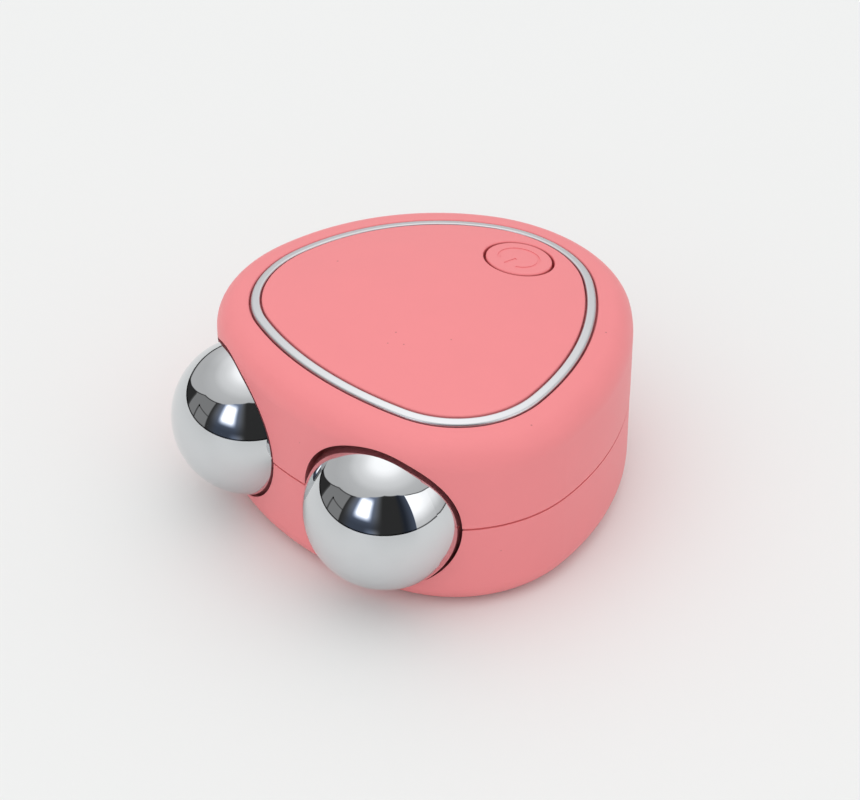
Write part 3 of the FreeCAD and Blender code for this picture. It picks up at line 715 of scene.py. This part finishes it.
class MASSAGER_OT_works(Operator):
    """Gives the works inside the case their finishes"""

    bl_idname = "massager.works"
    bl_label = "Inner works"

    # Colour and roughness of each metal.
    metals = {
        "steel": ((0.55, 0.55, 0.56), 0.3),
        "bush_brass": ((0.72, 0.52, 0.2), 0.32),
    }
    # Colour, roughness and speckle spacing of each moulding.
    mouldings = {
        "nylon_white": ((0.8, 0.8, 0.77), 0.5, 0.001),
        "carrier_black": ((0.03, 0.03, 0.03), 0.55, 0.0006),
        "foam_grey": ((0.1, 0.1, 0.1), 0.9, 0.0005),
        "chip_black": ((0.02, 0.02, 0.02), 0.6, 0.0003),
        "lead_red": ((0.5, 0.02, 0.02), 0.45, 0.002),
    }
    foil_colour = (0.6, 0.61, 0.63)
    solder_mask_colour = (0.02, 0.16, 0.07)

    def execute(self, context):
        for slot, values in self.metals.items():
            finish_nodes(slot, turned_metal(slot, *values))
        for slot, values in self.mouldings.items():
            finish_nodes(slot, plain_moulding(slot, *values))
        finish_nodes("battery_foil", crinkled_foil("battery_foil", self.foil_colour))
        finish_nodes("board_green", copper_board("board_green", self.solder_mask_colour))
        return {"FINISHED"}


class MASSAGER_OT_stage(Operator):
    """Sets up the floor, the studio light and the camera"""

    bl_idname = "massager.stage"
    bl_label = "Stage"

    sensor_width = 36.0
    near_clip = 0.01
    floor_mottle_spacing = 0.05
    backdrop_level = 0.92

    # All places are in degrees: azimuth, 0 where the camera stands and rising to its right, and elevation.
    # A graph is a row of places with their levels. A fade has its two ends. Sides have two places, and
    # some a softness. A line has its middle and its fade.

    # The canopy overhead: the elevation of its edge by azimuth, its level by the angle from its lamp, and
    # the paler cloth at the back.
    canopy_edge = ((-180, 0), (-135, 0), (-120, 8), (-105, 18), (-90, 29), (-60, 39), (-30, 50), (0, 55.5),
                   (30, 53), (60, 43.5), (90, 31), (112, 20), (140, 0), (180, 0))
    canopy_level = ((0, 1.46), (12, 1.42), (18, 1.28), (24, 1.06), (30, 0.92), (36, 0.84), (44, 0.67),
                    (60, 0.58), (180, 0.56))
    canopy_lamp = (180, 77)
    canopy_fade = (-0.8, 0.8)
    back_wall = (180, 35)
    back_wall_fade = (15, 42)
    back_wall_level = 0.22

    # The lit panel to the right.
    panel_by_elevation = ((0, 0.72), (8, 0.82), (14, 1.08), (22, 1.45), (30, 1.6), (90, 1.6))
    panel_by_azimuth = ((40, 1.0), (55, 1.0), (70, 0.9), (85, 0.82), (100, 0.74), (180, 0.7))
    panel_edge = (42.4, 43.6)

    # The lamp at the front, the blue glow round it and its spill on the table.
    lamp_sides = (-45, -22.5, 5)
    lamp_ends = (20, 46, 5)
    lamp_level = 1.9
    glow_middle = -34
    glow_fade = (11, 32)
    glow_rise = (8, 30)
    glow_low_level = 0.07
    glow_high_level = 0.2
    glow_tint = (0.58, 0.71, 1.0, 1.0)
    tint_edge = (20, 30)
    spill_middle = -17
    spill_fade = (1, 13)
    spill_top = (1, 10)
    spill_level = 0.2

    # The dark room, the grey screen to the left with its posts and rail, and the paler right end.
    room_level = 0.035
    screen_sides = (-104, -65, 1.2)
    screen_level = 0.23
    post_sides = ((-88, -85.5, 0.6), (-104.5, -102.5, 0.6))
    post_top = (17, 18)
    rail_ends = (-87, -60, 1)
    rail_sides = (15.5, 17, 0.5)
    rail_shade = 0.75
    right_end = (28, 43)
    right_end_level = 0.1

    # The dark lines along the canopy's edge and the table's edge, which is wider at the back.
    seam_sides = ((-135, -56, 3), (44, 100, 2))
    seam_line = (0.0, 0.3, 1.1)
    table_line = (0.6, 0.4, 1.4)
    back_sides = (-128, 128, 4)
    back_line = (1.5, 1.2, 2.6)
    seam_shade = 0.85

    # The even dome that lights the case, brighter overhead and towards the front lamp.
    dome_level = 0.765
    dome_rise = (20, 90)
    dome_top_level = 0.66
    front_lamp = (-34, 33)
    front_lamp_fade = (10, 60)
    front_lamp_level = 0.28

    def execute(self, context):
        scene = context.scene
        sizes = scene.massager_stage
        scene.view_settings.view_transform = "Standard"
        self.make_floor(scene, sizes)
        self.make_light(scene, sizes)
        self.make_camera(scene, sizes)
        return {"FINISHED"}

    def make_floor(self, scene, sizes):
        half = sizes.floor_size
        mesh = bpy.data.meshes.new("floor")
        corners = [(-half, -half, 0), (half, -half, 0), (half, half, 0), (-half, half, 0)]
        mesh.from_pydata(corners, [], [(0, 1, 2, 3)])
        material, board = new_board("floor_white")
        mottle = noise(board, self.floor_mottle_spacing, 3.0)
        close_board(board, {
            "Base Color": uneven(board, mottle, sizes.floor_colour, 0.995, 1.005),
            "Roughness": 0.5 + 0.1 * mottle,
            "Specular IOR Level": 0.3,
        })
        mesh.materials.append(material)
        floor = bpy.data.objects.new("floor", mesh)
        scene.collection.objects.link(floor)

    def make_light(self, scene, sizes):
        """An even white dome for the light, and a studio with canopy, panels and lamp for the mirrors."""
        world = bpy.data.worlds.new("studio")
        world.use_nodes = True
        scene.world = world
        board = Board(world.node_tree)
        direction = board.node("ShaderNodeTexCoord", output="Generated")
        turned = board.node("ShaderNodeVectorRotate", {"rotation_type": "Z_AXIS"},
                            {"Vector": direction, "Angle": -sizes.azimuth})
        split = board.node("ShaderNodeSeparateXYZ", None, {"Vector": turned})
        azimuth = split.math("ARCTAN2", -split.out("Y")) * math.degrees(1)
        elevation = split.out("Z").math("ARCSINE") * math.degrees(1)

        canopy = self.canopy(board, turned)
        above = elevation - board.graph(azimuth, self.canopy_edge)
        panel = board.graph(elevation, self.panel_by_elevation)
        panel = panel * board.graph(azimuth, self.panel_by_azimuth)
        lamp = azimuth.between(*self.lamp_sides) * elevation.between(*self.lamp_ends)
        glow = azimuth.near(self.glow_middle, *self.glow_fade)
        walls = self.walls(azimuth, elevation, glow) + self.lamp_level * lamp
        beside = azimuth.step(*self.panel_edge)
        covered = above.step(*self.canopy_fade)
        studio = canopy * covered + (panel * beside + walls * (1 - beside)) * (1 - covered)
        studio = studio * (1 - self.seam_shade * self.seams(azimuth, elevation, above))

        lamp_side = 1 - self.angle_from(board, turned, *self.front_lamp).step(*self.front_lamp_fade)
        overhead = elevation.step(*self.dome_rise)
        dome = self.dome_level + self.dome_top_level * overhead + self.front_lamp_level * lamp_side
        path = board.node("ShaderNodeLightPath")
        mirrored = path.out("Is Glossy Ray")
        seen = path.out("Is Camera Ray")
        level = mirrored * studio + (1 - mirrored) * ((1 - seen) * dome + self.backdrop_level * seen)
        blue = mirrored * (glow + azimuth.step(*self.tint_edge)) * (1 - covered) * (1 - beside) * (1 - lamp)
        colour = board.blend(blue, (1, 1, 1, 1), self.glow_tint)
        shader = board.node("ShaderNodeBackground", None, {"Color": colour, "Strength": level})
        board.node("ShaderNodeOutputWorld", None, {"Surface": shader})

    def canopy(self, board, direction):
        """Level of the cloth overhead and at the back."""
        overhead = board.graph(self.angle_from(board, direction, *self.canopy_lamp), self.canopy_level)
        at_back = 1 - self.angle_from(board, direction, *self.back_wall).step(*self.back_wall_fade)
        return overhead + self.back_wall_level * at_back

    def walls(self, azimuth, elevation, glow):
        """Level of the room below the canopy, without the lamp itself."""
        first, second = (azimuth.between(*sides) for sides in self.post_sides)
        lines = (first + second) * (1 - elevation.step(*self.post_top))
        lines = lines + elevation.between(*self.rail_sides) * azimuth.between(*self.rail_ends)
        screen = self.screen_level * azimuth.between(*self.screen_sides)
        glow_level = self.glow_low_level + self.glow_high_level * elevation.step(*self.glow_rise)
        spill = azimuth.near(self.spill_middle, *self.spill_fade) * (1 - elevation.step(*self.spill_top))
        room = screen * (1 - self.rail_shade * lines) + self.room_level + glow * glow_level
        return room + self.spill_level * spill + self.right_end_level * azimuth.step(*self.right_end)

    def seams(self, azimuth, elevation, above):
        """1 on the dark lines of the studio and 0 elsewhere."""
        left, right = (azimuth.between(*sides) for sides in self.seam_sides)
        lines = (left + right) * above.near(*self.seam_line)
        lines = lines + elevation.near(*self.table_line)
        lines = lines + (1 - azimuth.between(*self.back_sides)) * elevation.near(*self.back_line)
        return lines.math("MINIMUM", 1.0)

    def angle_from(self, board, direction, azimuth, elevation):
        """Degrees between a direction and the middle of a lamp or wall."""
        middle = self.pointing(math.radians(azimuth), math.radians(elevation))
        along = board.vector_math("DOT_PRODUCT", direction, middle, output="Value")
        return along.math("ARCCOSINE") * math.degrees(1)

    def pointing(self, azimuth, elevation):
        """The direction of an azimuth, from the ball end, and an elevation."""
        flat = math.cos(elevation)
        return Vector((math.sin(azimuth) * flat, -math.cos(azimuth) * flat, math.sin(elevation)))

    def make_camera(self, scene, sizes):
        back = self.pointing(sizes.azimuth, sizes.elevation)
        right = Vector((math.cos(sizes.azimuth), math.sin(sizes.azimuth), 0))
        up = back.cross(right)
        data = bpy.data.cameras.new("camera")
        data.sensor_width = self.sensor_width
        data.lens = PHOTO_FOCAL_PIXELS / PHOTO_WIDTH_PIXELS * data.sensor_width
        data.clip_start = self.near_clip
        camera = bpy.data.objects.new("camera", data)
        aim = Vector((0, SHELL_HIGH.y - sizes.aim_setback, sizes.aim_height))
        camera.location = aim + back * sizes.distance + right * sizes.shift_right + up * sizes.shift_up
        camera.rotation_mode = "QUATERNION"
        camera.rotation_quaternion = (-back).to_track_quat("-Z", "Y")
        scene.collection.objects.link(camera)
        scene.camera = camera


class MASSAGER_PT_pieces(Panel):
    """Lists the pieces of the massager and their sizes"""

    bl_label = "Facial massager"
    bl_space_type = "VIEW_3D"
    bl_region_type = "UI"
    bl_category = "Massager"

    def draw(self, context):
        for operator, holder in PIECES:
            box = self.layout.box()
            box.operator(operator.bl_idname)
            if holder is None:
                continue
            group = getattr(context.scene, holder)
            for key in group.__annotations__:
                box.prop(group, key)


GROUPS = {
    "massager_case": CaseFinish,
    "massager_balls": BallFinish,
    "massager_ring": TrimRing,
    "massager_contacts": PortContacts,
    "massager_stage": Stage,
}
PIECES = (
    (MASSAGER_OT_case, "massager_case"),
    (MASSAGER_OT_balls, "massager_balls"),
    (MASSAGER_OT_ring, "massager_ring"),
    (MASSAGER_OT_contacts, "massager_contacts"),
    (MASSAGER_OT_works, None),
    (MASSAGER_OT_stage, "massager_stage"),
)


def register():
    for name, group in GROUPS.items():
        bpy.utils.register_class(group)
        setattr(bpy.types.Scene, name, PointerProperty(type=group))
    for operator, _ in PIECES:
        bpy.utils.register_class(operator)
    bpy.utils.register_class(MASSAGER_PT_pieces)


def unregister():
    bpy.utils.unregister_class(MASSAGER_PT_pieces)
    for operator, _ in reversed(PIECES):
        bpy.utils.unregister_class(operator)
    for name, group in reversed(GROUPS.items()):
        delattr(bpy.types.Scene, name)
        bpy.utils.unregister_class(group)


def main():
    register()
    bpy.ops.massager.case()
    bpy.ops.massager.balls()
    bpy.ops.massager.ring()
    bpy.ops.massager.contacts()
    bpy.ops.massager.works()
    bpy.ops.massager.stage()


if __name__ == "__main__":
    main()
